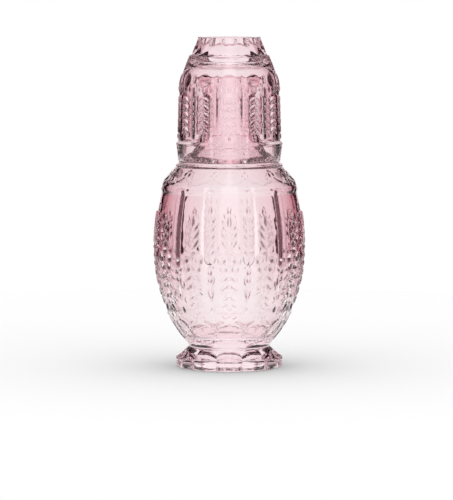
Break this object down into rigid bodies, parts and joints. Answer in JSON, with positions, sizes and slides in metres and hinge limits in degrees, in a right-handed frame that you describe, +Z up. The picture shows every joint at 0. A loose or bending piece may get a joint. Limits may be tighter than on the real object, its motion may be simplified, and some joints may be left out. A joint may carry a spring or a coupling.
{
  "type": "bedside carafe with tumbler",
  "caption": "Footed pressed-glass carafe with an upturned tumbler that sits on the carafe's shoulder and covers its neck.",
  "frame": {"origin": "middle of the foot's underside, in the plane that the foot stands on", "axes": "+Z up along the axis of the carafe and the tumbler, +X and +Y each through the middle of a panel"},
  "size_m": [0.12, 0.12, 0.26],
  "materials": {
    "pink_glass": "fire-polished pressed glass, clear and pale pink"
  },
  "bodies": {
    "carafe": {"carafe": "pink_glass"},
    "tumbler": {"tumbler": "pink_glass"}
  },
  "joints": [
    {"name": "tumbler_lift", "type": "slide", "parent": "carafe", "child": "tumbler", "axis": [0, 0, 1], "range_m": [0, 0.12]}
  ]
}
